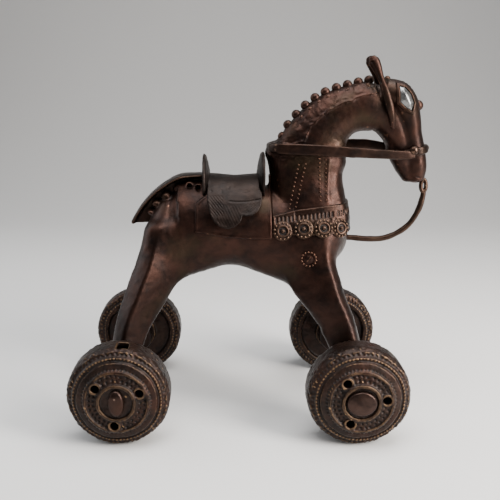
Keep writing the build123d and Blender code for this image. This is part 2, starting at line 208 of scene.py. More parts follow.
class Tube:
    """Solid swept along a curved line. Rows are x, y, z, half width, half depth and squareness."""

    def __init__(self, stations, cap=3.0, steps=4, twist=0.0, corner=2.2):
        rows = through([row if len(row) == 6 else (*row, 0.0) for row in stations], steps)
        self.path = rows[:, :3]
        self.half = rows[:, 3:5]
        self.square = np.clip(rows[:, 5], 0, 1)
        self.cap = cap
        self.corner = corner
        self.twist = math.radians(twist)
        tangent = np.gradient(self.path, axis=0)
        self.tangent = tangent / np.linalg.norm(tangent, axis=1)[:, None]
        across = np.array([0.0, 1.0, 0.0]) - self.tangent * self.tangent[:, 1:2]
        self.across = across / np.linalg.norm(across, axis=1)[:, None]
        reach = max(self.half.max(), cap) + 5
        self.low = self.path.min(axis=0) - reach
        self.high = self.path.max(axis=0) + reach

    def nearest(self, points):
        """The span of the path nearest each point, and how far along that span."""
        start = self.path[:-1]
        span = self.path[1:] - start
        length_sq = (span ** 2).sum(axis=1)
        start_span = (start * span).sum(axis=1)
        t = np.clip((points @ span.T - start_span) / length_sq, 0, 1)
        gap = t * (t * length_sq + 2 * start_span - 2 * (points @ span.T))
        gap += (start ** 2).sum(axis=1) - 2 * (points @ start.T)
        best = gap.argmin(axis=1)
        return best, np.take_along_axis(t, best[:, None], axis=1)

    def distance(self, points):
        """Signed distance, good near the surface."""
        out = np.empty(len(points))
        for first in range(0, len(points), POINTS_AT_ONCE):
            part = slice(first, first + POINTS_AT_ONCE)
            out[part] = self.part_distance(points[part])
        return out

    def part_distance(self, points):
        """Signed distance of a modest number of points."""
        index, t = self.nearest(points)

        def blend(values):
            return values[index] * (1 - t) + values[index + 1] * t

        tangent = blend(self.tangent)
        across = blend(self.across)
        half = blend(self.half)
        square = blend(self.square[:, None])[:, 0]
        offset = points - blend(self.path)
        deep = np.cross(tangent, across)
        u = (offset * across).sum(axis=1)
        v = (offset * deep).sum(axis=1)
        w = (offset * tangent).sum(axis=1)
        turned_u = u * math.cos(self.twist) - v * math.sin(self.twist)
        turned_v = u * math.sin(self.twist) + v * math.cos(self.twist)
        local = np.stack([turned_u, turned_v, w], axis=1)
        radii = np.column_stack([half, np.full(len(points), self.cap)])
        k0 = np.linalg.norm(local / radii, axis=1)
        k1 = np.linalg.norm(local / radii ** 2, axis=1)
        oval = k0 * (k0 - 1) / np.maximum(k1, 1e-6)
        if not square.any():
            return oval
        over = np.abs(local) - radii + self.corner
        box = np.linalg.norm(np.maximum(over, 0), axis=1) + np.minimum(over.max(axis=1), 0)
        box -= self.corner
        return oval * (1 - square) + box * square


class Ball:
    """Ellipsoid from its centre and three radii."""

    def __init__(self, centre, radii):
        self.centre = np.array(centre, dtype=float)
        self.radii = np.array(radii, dtype=float)
        self.low = self.centre - self.radii - 5
        self.high = self.centre + self.radii + 5

    def distance(self, points):
        """Signed distance."""
        offset = points - self.centre
        k0 = np.linalg.norm(offset / self.radii, axis=1)
        k1 = np.linalg.norm(offset / self.radii ** 2, axis=1)
        return k0 * (k0 - 1) / np.maximum(k1, 1e-6)


def outline_distance(flat, corners):
    """Signed distance from rows of two numbers to a closed polygon."""
    corners = np.asarray(corners, dtype=float)
    nearest = np.full(len(flat), np.inf)
    inside = np.zeros(len(flat), dtype=bool)
    for a, b in zip(corners, np.roll(corners, -1, axis=0)):
        span = b - a
        offset = flat - a
        t = np.clip(offset @ span / (span @ span), 0, 1)
        nearest = np.minimum(nearest, ((offset - t[:, None] * span) ** 2).sum(axis=1))
        crosses = (a[1] > flat[:, 1]) != (b[1] > flat[:, 1])
        rise = span[1] if span[1] else 1e-9
        inside ^= crosses & (flat[:, 0] < span[0] * (flat[:, 1] - a[1]) / rise + a[0])
    return np.where(inside, -1, 1) * np.sqrt(nearest)


CELLS = 32
random_cells = np.random.RandomState(7).rand(CELLS, CELLS, CELLS)


def noise(points, scale):
    """Smooth random value from -1 to 1 that changes over about scale millimetres."""
    position = np.asarray(points) / scale + 100.5
    index = np.floor(position).astype(int)
    part = ease(position - index)
    total = np.zeros(len(position))
    for corner in range(8):
        bits = np.array([corner & 1, corner >> 1 & 1, corner >> 2 & 1])
        weight = np.prod(np.where(bits, part, 1 - part), axis=1)
        i, j, k = ((index + bits) % CELLS).T
        total += weight * random_cells[i, j, k]
    return 2 * total - 1


class Block:
    """A box of evenly spaced samples that holds one distance field."""

    def __init__(self, low, high, step):
        self.low = np.array(low, dtype=float)
        self.step = step
        self.shape = np.ceil((np.array(high) - self.low) / step).astype(int) + 1

    def points(self):
        """Positions of all the samples, as rows."""
        axes = [self.low[i] + self.step * np.arange(n) for i, n in enumerate(self.shape)]
        return np.stack(np.meshgrid(*axes, indexing="ij"), axis=-1).reshape(-1, 3)

    def fill(self, function, skip=5, margin=1.6):
        """Sample a field finely near its surface and coarsely elsewhere."""
        coarse_step = self.step * skip
        count = np.ceil((self.shape - 1) / skip).astype(int) + 1
        axes = [self.low[i] + coarse_step * np.arange(n) for i, n in enumerate(count)]
        rows = np.stack(np.meshgrid(*axes, indexing="ij"), axis=-1).reshape(-1, 3)
        values = function(rows).reshape(count)
        for axis in range(3):
            fine = np.arange(self.shape[axis]) / skip
            index = np.minimum(fine.astype(int), count[axis] - 2)
            form = [1, 1, 1]
            form[axis] = -1
            part = (fine - index).reshape(form)
            lower = np.take(values, index, axis)
            upper = np.take(values, index + 1, axis)
            values = lower * (1 - part) + upper * part
        near = np.abs(values) < 0.87 * coarse_step + margin
        places = np.argwhere(near) * self.step + self.low
        values[near] = function(places)
        self.values = values
        return self

    def mesh(self, name, values=None):
        """Closed surface where the field is zero, as an object in the frame's metres."""
        field = self.values if values is None else values
        grid = openvdb.FloatGrid(background=BAND)
        grid.copyFromArray(np.clip(field, -BAND, BAND).astype(np.float32), tolerance=0.0)
        verts, quads = grid.convertToQuads(0.0)
        return solid_object(name, self.low + verts.astype(float) * self.step, quads)


def solid_object(name, verts, faces):
    """Smooth-shaded object from millimetre points and faces with equal numbers of corners."""
    mesh = bpy.data.meshes.new(name)
    faces = np.asarray(faces, dtype=np.int32)
    mesh.vertices.add(len(verts))
    mesh.vertices.foreach_set("co", place(verts).ravel())
    mesh.loops.add(faces.size)
    mesh.loops.foreach_set("vertex_index", faces.ravel())
    mesh.polygons.add(len(faces))
    mesh.polygons.foreach_set("loop_start", np.arange(0, faces.size, faces.shape[1]))
    mesh.polygons.foreach_set("use_smooth", np.ones(len(faces), dtype=bool))
    mesh.update(calc_edges=True)
    mesh.validate()
    return add_object(name, mesh)


def finish_piece(item, body, slot, nodes=()):
    """Attach a piece to its body, give it its finish and hide the CAD nodes it stands for."""
    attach(item, body)
    if nodes:
        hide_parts(*nodes)
    item.data.materials.clear()
    item.data.materials.append(finishes[slot])


def field_piece(name, low, high, step, field, slot, nodes=()):
    """A piece of the horse, meshed from its distance field inside a box."""
    finish_piece(Block(low, high, step).fill(field).mesh(name), "horse", slot, nodes)


# ---- materials ----
# Height of the belly, where painted shade starts to darken the cast bronze towards the axles.
BELLY_HEIGHT = 78.0
# Pointiness at which dirt starts, and at which it is thickest.
RECESS = (0.49, 0.44)


class Nodes:
    """Short way to write a procedural material."""

    def __init__(self, name):
        self.material = bpy.data.materials.new(name)
        self.material.use_nodes = True
        self.tree = self.material.node_tree
        self.shader = self.tree.nodes["Principled BSDF"]
        self.coordinates = self.tree.nodes.new("ShaderNodeTexCoord").outputs["Object"]
        apart = self.tree.nodes.new("ShaderNodeSeparateXYZ")
        self.set(apart.inputs["Vector"], self.coordinates)
        self.height = apart.outputs["Z"]
        self.pointiness = self.tree.nodes.new("ShaderNodeNewGeometry").outputs["Pointiness"]

    def set(self, socket, value):
        """Connect an output to a socket, or write a constant into it."""
        if isinstance(value, bpy.types.NodeSocket):
            self.tree.links.new(value, socket)
        else:
            socket.default_value = value

    def noise(self, size_mm, detail, rough, distortion=0.0):
        """Noise whose features are about size_mm across, from 0 to 1."""
        node = self.tree.nodes.new("ShaderNodeTexNoise")
        self.set(node.inputs["Vector"], self.coordinates)
        node.inputs["Scale"].default_value = 1 / (size_mm * MM)
        node.inputs["Detail"].default_value = detail
        node.inputs["Roughness"].default_value = rough
        node.inputs["Distortion"].default_value = distortion
        return node.outputs["Fac"]

    def remap(self, value, low, high, to_low=0.0, to_high=1.0):
        """Clamped straight-line change of a value's range."""
        node = self.tree.nodes.new("ShaderNodeMapRange")
        self.set(node.inputs["Value"], value)
        ends = {"From Min": low, "From Max": high, "To Min": to_low, "To Max": to_high}
        for name, number in ends.items():
            node.inputs[name].default_value = number
        return node.outputs["Result"]

    def math(self, kind, a, b):
        """One arithmetic step on two values."""
        node = self.tree.nodes.new("ShaderNodeMath")
        node.operation = kind
        self.set(node.inputs[0], a)
        self.set(node.inputs[1], b)
        return node.outputs[0]

    def mix(self, amount, first, second):
        """Blend of two colours."""
        node = self.tree.nodes.new("ShaderNodeMix")
        node.data_type = "RGBA"
        self.set(node.inputs["Factor"], amount)
        for socket, value in ((node.inputs["A"], first), (node.inputs["B"], second)):
            self.set(socket, (*value, 1) if isinstance(value, tuple) else value)
        return node.outputs["Result"]

    def bump(self, height, distance_mm, strength, under=None):
        """Bump normal from a height value."""
        node = self.tree.nodes.new("ShaderNodeBump")
        self.set(node.inputs["Height"], height)
        node.inputs["Distance"].default_value = distance_mm * MM
        node.inputs["Strength"].default_value = strength
        if under is not None:
            self.set(node.inputs["Normal"], under)
        return node.outputs["Normal"]


def bronze(name, dark, mid, accent, rubbed, dirt_and_shade, metal, rough, patch_mm, grain_mm, grain_depth,
           edge=(0.52, 0.6), foot_shade=0.0):
    """Old cast bronze: patches of patina, rubbed edges, grime in the recesses and a fine cast grain.
    foot_shade is how far painted shade darkens the bronze from the belly down to the axles."""
    nodes = Nodes(name)
    patches = nodes.noise(patch_mm, 5.0, 0.62, 0.6)
    color = nodes.mix(nodes.remap(patches, 0.35, 0.62), dark, mid)
    tint = nodes.noise(patch_mm * 2.3, 3.0, 0.55, 0.3)
    color = nodes.mix(nodes.remap(tint, 0.52, 0.72, 0.0, 0.8), color, accent)
    # Painted shade: the colour darkens from the belly down to the axles, in the same dark colour as
    # the grime in the recesses.
    if foot_shade:
        shade = nodes.remap(nodes.height, AXLE_HEIGHT * MM, BELLY_HEIGHT * MM, foot_shade, 0.0)
        color = nodes.mix(shade, color, dirt_and_shade)
    specks = nodes.noise(grain_mm * 3.5, 6.0, 0.7)
    edges = nodes.remap(nodes.pointiness, *edge)
    wear = nodes.math("MULTIPLY", edges, nodes.remap(specks, 0.3, 0.6, 0.35, 1.0))
    color = nodes.mix(wear, color, rubbed)
    recesses = nodes.remap(nodes.pointiness, *RECESS)
    grime = nodes.math("MULTIPLY", recesses, nodes.remap(specks, 0.25, 0.55, 0.5, 1.0))
    color = nodes.mix(grime, color, dirt_and_shade)
    nodes.set(nodes.shader.inputs["Base Color"], color)
    dulled = nodes.remap(grime, 0, 1, 0, metal * 0.7)
    nodes.set(nodes.shader.inputs["Metallic"], nodes.math("SUBTRACT", metal, dulled))
    worn_rough = nodes.remap(specks, 0.3, 0.7, rough[0], rough[1])
    polished = nodes.math("SUBTRACT", worn_rough, nodes.remap(wear, 0, 1, 0, 0.08))
    matt = nodes.math("ADD", polished, nodes.remap(grime, 0, 1, 0, 0.3))
    nodes.set(nodes.shader.inputs["Roughness"], matt)
    coarse = nodes.noise(grain_mm * 6, 3.0, 0.5)
    under = nodes.bump(coarse, grain_depth * 4, 0.5)
    grain = nodes.noise(grain_mm, 5.0, 0.65)
    nodes.set(nodes.shader.inputs["Normal"], nodes.bump(grain, grain_depth, 0.6, under))
    return nodes.material


finishes = {
    "cast_bronze": bronze(
        "cast_bronze", dark=(0.009, 0.0038, 0.0026), mid=(0.03, 0.0118, 0.0075),
        accent=(0.022, 0.0135, 0.0066), rubbed=(0.12, 0.058, 0.036), dirt_and_shade=(0.006, 0.0028, 0.002),
        metal=0.84, rough=(0.3, 0.5), patch_mm=9.0, grain_mm=0.5, grain_depth=0.06,
        edge=(0.53, 0.63), foot_shade=0.75),
    "saddle_bronze": bronze(
        "saddle_bronze", dark=(0.0056, 0.003, 0.0022), mid=(0.0135, 0.0074, 0.0053),
        accent=(0.014, 0.0072, 0.0044), rubbed=(0.085, 0.054, 0.038), dirt_and_shade=(0.005, 0.003, 0.0022),
        metal=0.8, rough=(0.38, 0.54), patch_mm=7.0, grain_mm=0.45, grain_depth=0.05,
        edge=(0.55, 0.68)),
    "trim_bronze": bronze(
        "trim_bronze", dark=(0.0085, 0.004, 0.0028), mid=(0.024, 0.0108, 0.007),
        accent=(0.022, 0.0125, 0.0065), rubbed=(0.115, 0.068, 0.045), dirt_and_shade=(0.007, 0.0036, 0.0027),
        metal=0.86, rough=(0.3, 0.46), patch_mm=6.0, grain_mm=0.4, grain_depth=0.04),
    "burnished_eye": bronze(
        "burnished_eye", dark=(0.1, 0.098, 0.097), mid=(0.21, 0.207, 0.203),
        accent=(0.16, 0.15, 0.145), rubbed=(0.42, 0.41, 0.4), dirt_and_shade=(0.04, 0.03, 0.028),
        metal=0.92, rough=(0.24, 0.38), patch_mm=3.0, grain_mm=0.3, grain_depth=0.02),
    "axle_bronze": bronze(
        "axle_bronze", dark=(0.016, 0.0085, 0.0065), mid=(0.036, 0.02, 0.0155),
        accent=(0.034, 0.0155, 0.0105), rubbed=(0.16, 0.105, 0.08), dirt_and_shade=(0.014, 0.008, 0.006),
        metal=0.85, rough=(0.26, 0.42), patch_mm=5.0, grain_mm=0.5, grain_depth=0.06),
    "wheel_bronze": bronze(
        "wheel_bronze", dark=(0.0062, 0.0025, 0.0015), mid=(0.0185, 0.0082, 0.0047),
        accent=(0.028, 0.0082, 0.0037), rubbed=(0.28, 0.165, 0.082), dirt_and_shade=(0.0045, 0.002, 0.0014),
        metal=0.7, rough=(0.36, 0.56), patch_mm=6.0, grain_mm=0.42, grain_depth=0.1),
}

# ---- the horse's body as one field ----
trunk = Tube([
    (-31.8, 0, 84.5, 14.5, 17.5),
    (-25.0, 0, 83.9, 16.6, 22.9),
    (-18.0, 0, 85.9, 17.2, 22.4),
    (-10.0, 0, 87.4, 17.4, 20.6),
    (0.0, 0, 87.2, 17.4, 19.3),
    (9.0, 0, 85.4, 17.5, 19.9),
    (17.0, 0, 82.8, 17.5, 21.6),
    (26.0, 0, 81.2, 17.3, 23.0),
    (36.0, 0, 84.8, 16.4, 17.9),
    (41.0, 0, 85.8, 15.0, 14.9),
], cap=9.1)
neck_column = Tube([
    (33.5, 0, 86.0, 16.4, 17.0, 0.5),
    (33.0, 0, 92.0, 15.4, 17.3, 0.5),
    (31.7, 0, 101.0, 13.4, 16.7, 0.2),
    (31.0, 0, 109.0, 10.9, 16.4, 0.2),
    (30.8, 0, 116.0, 9.5, 17.2, 0.3),
    (30.4, 0, 120.5, 9.0, 17.6, 0.3),
], cap=4.0, corner=4.5)
neck_arch = Tube([
    (33.5, 0, 116.0, 8.8, 14.3),
    (34.2, 0, 123.9, 8.6, 13.7),
    (39.2, 0, 132.0, 8.2, 11.9),
    (47.3, 0, 138.0, 8.0, 10.2),
    (57.0, 0, 140.1, 7.8, 10.3),
    (65.0, 0, 137.1, 7.2, 9.5),
    (70.2, 0, 129.0, 6.4, 6.6),
    (74.2, 0, 119.0, 5.2, 5.6),
], cap=4.0)
face = Tube([
    (63.8, 0, 146.8, 8.2, 6.0),
    (70.5, 0, 144.1, 9.3, 7.0),
    (74.4, 0, 137.4, 8.8, 5.9),
    (76.6, 0, 129.2, 7.3, 4.9),
    (78.7, 0, 120.8, 6.2, 5.1),
    (80.1, 0, 113.6, 5.7, 4.9),
    (80.2, 0, 109.2, 5.0, 4.2),
], cap=2.6)
jaw = Tube([
    (70.7, 0, 122.5, 4.6, 4.6),
    (74.2, 0, 115.0, 4.4, 4.2),
    (77.1, 0, 109.8, 3.8, 3.4),
], cap=2.6)
withers = Tube([
    (15.4, 0, 120.7, 5.6, 3.2),
    (20.2, 0, 122.9, 6.4, 4.0),
    (26.0, 0, 129.0, 6.0, 4.0),
], cap=2.8)
# Mane beads stand on a narrow ridge along the crest.
bead_places = [
    (19.9, 127.3), (22.2, 132.4), (25.8, 136.9), (29.7, 140.9), (33.9, 144.1), (38.3, 146.6),
    (43.1, 148.4), (47.9, 149.7), (52.6, 150.8), (57.2, 151.6),
]
BEAD_RADIUS = 2.15
RIDGE_INWARD = 2.6
crest_centre = np.array([48.0, 124.0])


def toward_neck(place_xz, depth):
    """A point some depth in from the crest, towards the middle of the neck's curve."""
    inward = crest_centre - np.array(place_xz)
    return np.array(place_xz) + inward * depth / np.linalg.norm(inward)


crest_rows = [toward_neck(spot, RIDGE_INWARD) for spot in bead_places]
crest = Tube([(row[0], 0, row[1], 2.6, 1.7) for row in crest_rows], cap=1.5, steps=3)


def rear_leg(side):
    """Rear leg that leans back and out from the rump to the axle lug, ridged down its outside."""
    return Tube([
        (-31.0, side * 9.0, 84.0, 7.3, 11.4, 0.2),
        (-34.2, side * 12.0, 72.0, 6.6, 11.0, 0.6),
        (-40.1, side * 17.0, 59.5, 5.8, 9.3, 0.85),
        (-46.2, side * 21.8, 47.5, 5.0, 6.9, 0.85),
        (-49.3, side * 25.0, 35.0, 4.6, 6.1, 0.75),
        (-51.0, side * 27.0, 23.0, 4.0, 5.6, 0.5),
    ], cap=5.0, twist=-37 * side, corner=1.7)


def front_leg(side):
    """Front leg that leans forward and out from the chest to the axle lug."""
    return Tube([
        (31.0, side * 9.0, 86.0, 7.0, 12.0, 0.1),
        (32.4, side * 12.5, 72.0, 6.8, 11.2, 0.35),
        (36.3, side * 17.2, 59.0, 6.1, 11.2, 0.5),
        (43.8, side * 21.8, 47.0, 5.3, 8.1, 0.5),
        (48.2, side * 25.0, 35.0, 4.7, 6.8, 0.4),
        (51.0, side * 27.0, 23.0, 4.2, 6.5, 0.3),
    ], cap=5.0, twist=20 * side, corner=2.6)


LUG_MIDDLE = 27.5
LUG_HALF_WIDTH = 4.0
LUG_RADIUS = 7.4


class Lug:
    """Rounded eye at the foot of a leg that the axle passes through."""

    def __init__(self, x, side):
        self.middle = np.array([x, side * LUG_MIDDLE, AXLE_HEIGHT])
        reach = LUG_RADIUS + 5
        self.low = self.middle - reach
        self.high = self.middle + reach

    def distance(self, points):
        """Signed distance to a short round-edged drum across the horse."""
        offset = points - self.middle
        out = np.hypot(offset[:, 0], offset[:, 2]) - LUG_RADIUS
        return smooth_max(out, np.abs(offset[:, 1]) - LUG_HALF_WIDTH, 1.6)


# Lumps under the tail leaf as x, z and radius, and two pits at their front end.
tail_lumps = [
    (-21.8, 106.2, 2.3), (-26.6, 104.3, 2.5), (-32.2, 101.0, 2.5), (-36.6, 97.6, 2.2),
    (-39.2, 93.8, 1.7),
]
LUMP_OFFSET = 3.4
LUMP_HALF_WIDTH = 3.0
tail_pits = [(-21.5, 105.9), (-17.6, 105.2)]
PIT_RADIUS = 1.0
PIT_HALF_WIDTH = 3.0

# Solids of the body, each with the width of its fillet to those before it.
body_parts = [(trunk, 0.1)]
for leg_side in (-1, 1):
    body_parts += [(rear_leg(leg_side), 7.0), (front_leg(leg_side), 6.5)]
    body_parts += [(Lug(-HALF_BASE, leg_side), 2.0), (Lug(HALF_BASE, leg_side), 2.0)]
body_parts += [(neck_column, 1.8), (neck_arch, 3.0), (crest, 2.0), (withers, 2.0)]
body_parts += [(jaw, 1.5), (face, 1.1)]
for lump_x, lump_z, radius in tail_lumps:
    for lump_side in (-1, 1):
        centre = (lump_x, lump_side * LUMP_OFFSET, lump_z)
        body_parts.append((Ball(centre, (radius, LUMP_HALF_WIDTH, radius * 0.85)), 0.8))

# Outline of the archway between the front and rear legs, open through the horse from side to side.
archway = [
    (-36.6, 45.0), (-32.9, 52.4), (-28.7, 59.4), (-26.3, 61.5), (-22.9, 63.7), (-17.1, 66.2),
    (-13.3, 67.1), (-5.0, 67.8), (4.1, 67.1), (10.1, 65.7), (15.3, 63.8), (20.2, 61.5), (23.6, 59.2),
    (27.5, 55.8), (31.7, 51.4), (36.2, 44.6), (20.0, 20.0), (-20.0, 20.0),
]
ARCH_ROUNDING = 3.5
ARCH_CEILING = 80.0


def body_distance(points):
    """Signed distance to the whole horse without its harness."""
    total = np.full(len(points), FAR)
    for solid, width in body_parts:
        near = ((points > solid.low) & (points < solid.high)).all(axis=1)
        if near.any():
            total[near] = smooth_min(total[near], solid.distance(points[near]), width)
    low = points[:, 2] < ARCH_CEILING
    if low.any():
        opening = outline_distance(points[low][:, [0, 2]], archway)
        total[low] = smooth_max(total[low], -opening, ARCH_ROUNDING)
    return total


def normals_at(points):
    """Outward directions of the body's surface."""
    rises = [body_distance(points + s) - body_distance(points - s) for s in np.eye(3) * 0.2]
    slope = np.stack(rises, axis=1)
    return slope / np.linalg.norm(slope, axis=1)[:, None]


BODY_HALF_WIDTH = 32.0
HALVINGS = 22


def on_side(places, side):
    """Points of the body's surface on one side at rows of x, z, with their normals."""
    flat = np.asarray(places, dtype=float)
    inner = np.zeros(len(flat))
    outer = np.full(len(flat), BODY_HALF_WIDTH)
    for _ in range(HALVINGS):
        middle = (inner + outer) / 2
        inside = body_distance(np.column_stack([flat[:, 0], side * middle, flat[:, 1]])) < 0
        inner = np.where(inside, middle, inner)
        outer = np.where(inside, outer, middle)
    points = np.column_stack([flat[:, 0], side * outer, flat[:, 1]])
    return points, normals_at(points)


# Mane: curly relief over the crest of the neck, with a raised irregular lower edge.
mane_outline = [
    (12.0, 124.5), (20.0, 131.0), (26.0, 141.0), (36.0, 150.0), (50.0, 155.0), (61.0, 155.0),
    (60.0, 146.5), (50.2, 143.6), (45.2, 141.6), (40.5, 139.4), (36.3, 136.4), (32.1, 132.4),
    (28.8, 125.4), (24.0, 123.5),
]


def curls(points, scale):
    """Swirling ridges like cast curls of hair, from -1 to 1."""
    warp = noise(points, scale * 2.2) * 2.4 + noise(points + 31, scale) * 1.2
    return np.sin(warp * 3.4 + (points[:, 0] * 0.7 + points[:, 2]) / scale)


# A rough band round the neck below the rein, up to an x; and an upright ridge ahead of the dots.
ROUGH_BAND = (113.5, 122.0)
ROUGH_FRONT_X = 33.0
RIDGE_X = 39.6
RIDGE_SPAN = (98.0, 119.5)


def neck_detail(points):
    """Height of the cast relief on the neck and head."""
    flat = points[:, [0, 2]]
    edge = outline_distance(flat, mane_outline)
    inside = ease((0.3 - edge) / 0.6)
    rim = np.exp(-((edge + 0.5 + 0.6 * noise(points, 2.0)) / 0.4) ** 2)
    height = inside * (0.12 + 0.08 * curls(points, 2.2)) + 0.4 * rim
    rough = between(points[:, 2], ROUGH_BAND, 1.5) * ease((ROUGH_FRONT_X - points[:, 0]) / 3.0)
    height += rough * (0.1 * curls(points, 1.6) + 0.03)
    ridge = np.exp(-((points[:, 0] - RIDGE_X - 0.3 * noise(points, 6.0)) / 1.1) ** 2)
    height += 0.35 * ridge * between(points[:, 2], RIDGE_SPAN, 3.0)
    height += 0.12 * noise(points, 5.0) + 0.05 * noise(points, 1.6)
    return height


def trunk_detail(points):
    """Height of the unevenness that the casting left on the trunk and legs."""
    return 0.15 * noise(points, 9.0) + 0.1 * noise(points, 3.5) + 0.06 * noise(points, 1.4)


SEAM_X = 15.0
SEAM_Z = 92.0
WITHERS_REACH = 7.0
WITHERS_Z = 103.0
BORE_RADIUS = 2.56


def upper_front(points):
    """Signed distance to the region above and ahead of the seam, where the neck starts."""
    seam = SEAM_X - WITHERS_REACH * ease((points[:, 2] - WITHERS_Z) / 4.0)
    return np.maximum(seam - points[:, 0], SEAM_Z - points[:, 2])


def trunk_field(points):
    """Trunk and bored legs, ending at the seam under the collar."""
    body = body_distance(points) - trunk_detail(points)
    for x, z in tail_pits:
        pit = np.hypot(points[:, 0] - x, points[:, 2] - z) - PIT_RADIUS
        body = smooth_max(body, -np.maximum(pit, PIT_HALF_WIDTH - np.abs(points[:, 1])), 0.5)
    for x in (-HALF_BASE, HALF_BASE):
        axle = np.hypot(points[:, 0] - x, points[:, 2] - AXLE_HEIGHT)
        body = np.maximum(body, BORE_RADIUS - axle)
    return np.maximum(body, -upper_front(points))


# The mouth: a sloping slit cut in from each side, through a point at the front of the muzzle.
MOUTH_FRONT = (80.0, 109.6)
MOUTH_SLOPE = 0.25
MOUTH_HALF_GAP = 0.3
MOUTH_BACK_X = 77.5
MOUTH_INNER_Y = 4.6


def neck_field(points):
    """Neck and head down to the seam, with mane relief and mouth."""
    x, y, z = points.T
    body = body_distance(points) - neck_detail(points)
    drop = MOUTH_FRONT[1] - MOUTH_SLOPE * (x - MOUTH_FRONT[0])
    mouth = np.maximum(np.abs(z - drop) - MOUTH_HALF_GAP, MOUTH_BACK_X - x)
    body = smooth_max(body, -np.maximum(mouth, MOUTH_INNER_Y - np.abs(y)), 0.5)
    return np.maximum(body, upper_front(points))


field_piece("trunk_casting", (-62, -34, 13), (61, 34, 113), 0.6, trunk_field,
            "cast_bronze", ["trunk_and_legs"])
field_piece("neck_casting", (9, -20, 90), (89, 20, 158), 0.38, neck_field,
            "cast_bronze", ["neck_and_head"])


# ---- shells that lie on the body ----
ROOT_DEPTH = 0.9


def shell(points, edge, thickness, rounding, root=ROOT_DEPTH):
    """A layer over the body within an edge distance, rooted a little inside the body."""
    body = body_distance(points)
    layer = smooth_max(body - thickness, edge, rounding)
    return np.maximum(layer, -root - body)


cloth_outline = [
    (-14.0, 116.0), (-14.0, 103.4), (-18.9, 99.6), (-18.9, 87.2), (-14.5, 86.6), (-5.0, 84.9),
    (5.0, 84.3), (14.8, 84.3), (14.8, 116.0),
]


def cloth_field(points):
    """Saddlecloth with a thin raised border and an uneven surface."""
    edge = outline_distance(points[:, [0, 2]], cloth_outline)
    rim = np.exp(-((edge + 0.7) / 0.45) ** 2)
    height = 0.4 + 0.28 * rim + 0.1 * noise(points, 3.0)
    return shell(points, edge, height, 0.5)


field_piece("saddlecloth_sheet", (-26, -21, 82), (17, 21, 110), 0.38, cloth_field,
            "cast_bronze", ["saddlecloth"])

# The saddle: an arched seat and one lobed flap each side, engraved.
SEAT_REAR = -13.0
SEAT_FRONT = 9.0
seat_arch = Tube([
    (SEAT_REAR - 6, 0, 87.8, 17.8, 23.5, 0.0),
    (-8.0, 0, 87.8, 18.0, 22.7, 0.0),
    (-2.0, 0, 87.8, 18.0, 22.2, 0.0),
    (4.0, 0, 87.8, 18.0, 22.6, 0.0),
    (SEAT_FRONT + 6, 0, 87.8, 17.8, 23.5, 0.0),
], cap=12.0)
saddle_outline = [
    (SEAT_REAR - 0.6, 118.0), (-13.6, 102.0), (-13.0, 98.6), (-12.2, 95.4), (-10.6, 92.4),
    (-8.2, 90.3), (-4.6, 89.2), (-1.2, 90.2), (1.2, 92.6), (1.9, 94.9), (3.4, 94.6), (5.8, 94.9),
    (8.4, 96.4), (10.0, 98.8), (10.6, 101.4), (10.4, 104.0), (9.6, 105.4), (9.4, 118.0),
]


def grooves(value, spacing, width):
    """1 in narrow evenly spaced grooves, 0 between them."""
    offset = np.abs((value / spacing) % 1 - 0.5) * spacing
    return ease(1 - offset / width)


def saddle_engraving(points):
    """Depth of the engraved lines and punched marks on the saddle."""
    x, z = points[:, 0], points[:, 2]
    rear_hatch = between(z, (94.0, 103.5), 1.0) * ease(-6.0 - x)
    depth = 0.2 * grooves(x + 0.9 * z, 1.3, 0.4) * rear_hatch
    front_hatch = between(z, (95.5, 102.4), 1.0) * ease(x - 2.6)
    depth += 0.2 * grooves(x - 1.3 * z, 1.4, 0.4) * front_hatch
    lobe_hatch = ease((100.0 - z) / 1.5) * ease(1.5 - x)
    depth += 0.12 * grooves(0.9 * x + 0.45 * z, 1.15, 0.35) * lobe_hatch
    line = np.abs(z - 100.4 - 0.012 * (x - 1) ** 2)
    depth += 0.25 * ease(1 - line / 0.45) * ease((x + 5.0) / 2)
    marks = ease((noise(points * [1, 0.3, 1], 1.6) - 0.2) / 0.4)
    return depth + 0.16 * marks * ease(z - 102.0) * ease((107.5 - z) / 1.5)


def saddle_field(points):
    """Seat and flaps as one engraved sheet with a raised edge."""
    edge = outline_distance(points[:, [0, 2]], saddle_outline)
    body = body_distance(points)
    arch = seat_arch.distance(points)
    outer = smooth_min(body - 2.1, arch, 1.5)
    lift = ease((100.0 - points[:, 2]) / 8.0) * 0.7
    engraved = saddle_engraving(points)
    rim = np.exp(-((edge + 0.55) / 0.5) ** 2) * ease((103.0 - points[:, 2]) / 2)
    surface = outer - lift + engraved - 0.22 * rim - 0.08 * noise(points, 2.5)
    solid = smooth_max(surface, edge, 0.5)
    return np.maximum(solid, 0.3 - body)


field_piece("saddle_seat_and_flaps", (-16, -24, 86.5), (13.5, 24, 114), 0.33, saddle_field,
            "saddle_bronze", ["saddle_seat", "saddle_flap_left", "saddle_flap_right"])


def plate_field(middle_x, foot, top, half_width, dish, thickness):
    """Field of an upright dished plate that straddles the back."""
    half_height = (top - foot) / 2 + 1.5
    middle_z = top - half_height

    def field(points):
        across = points[:, 1] / half_width
        up = (points[:, 2] - middle_z) / half_height
        radius = np.hypot(across, up)
        bowl = middle_x + dish * (1 - radius ** 2)
        edge = (radius - 1) * min(half_width, half_height)
        slab = np.abs(points[:, 0] - bowl) - thickness / 2 - 0.12 * noise(points, 2.4)
        marks = 0.12 * grooves(radius * 10, 2.2, 0.5)
        solid = smooth_max(slab + marks, edge, 0.8)
        return np.maximum(solid, -0.5 - body_distance(points))

    return field


cantle_field = plate_field(-15.2, 100.0, 119.6, 13.6, 2.2, 1.5)
field_piece("cantle_plate", (-21, -16, 97), (-9, 16, 122), 0.32, cantle_field,
            "saddle_bronze", ["cantle"])
pommel_field = plate_field(11.4, 101.0, 120.5, 12.8, -2.0, 1.6)
field_piece("pommel_plate", (6, -16, 98), (16, 16, 123), 0.32, pommel_field,
            "saddle_bronze", ["pommel"])

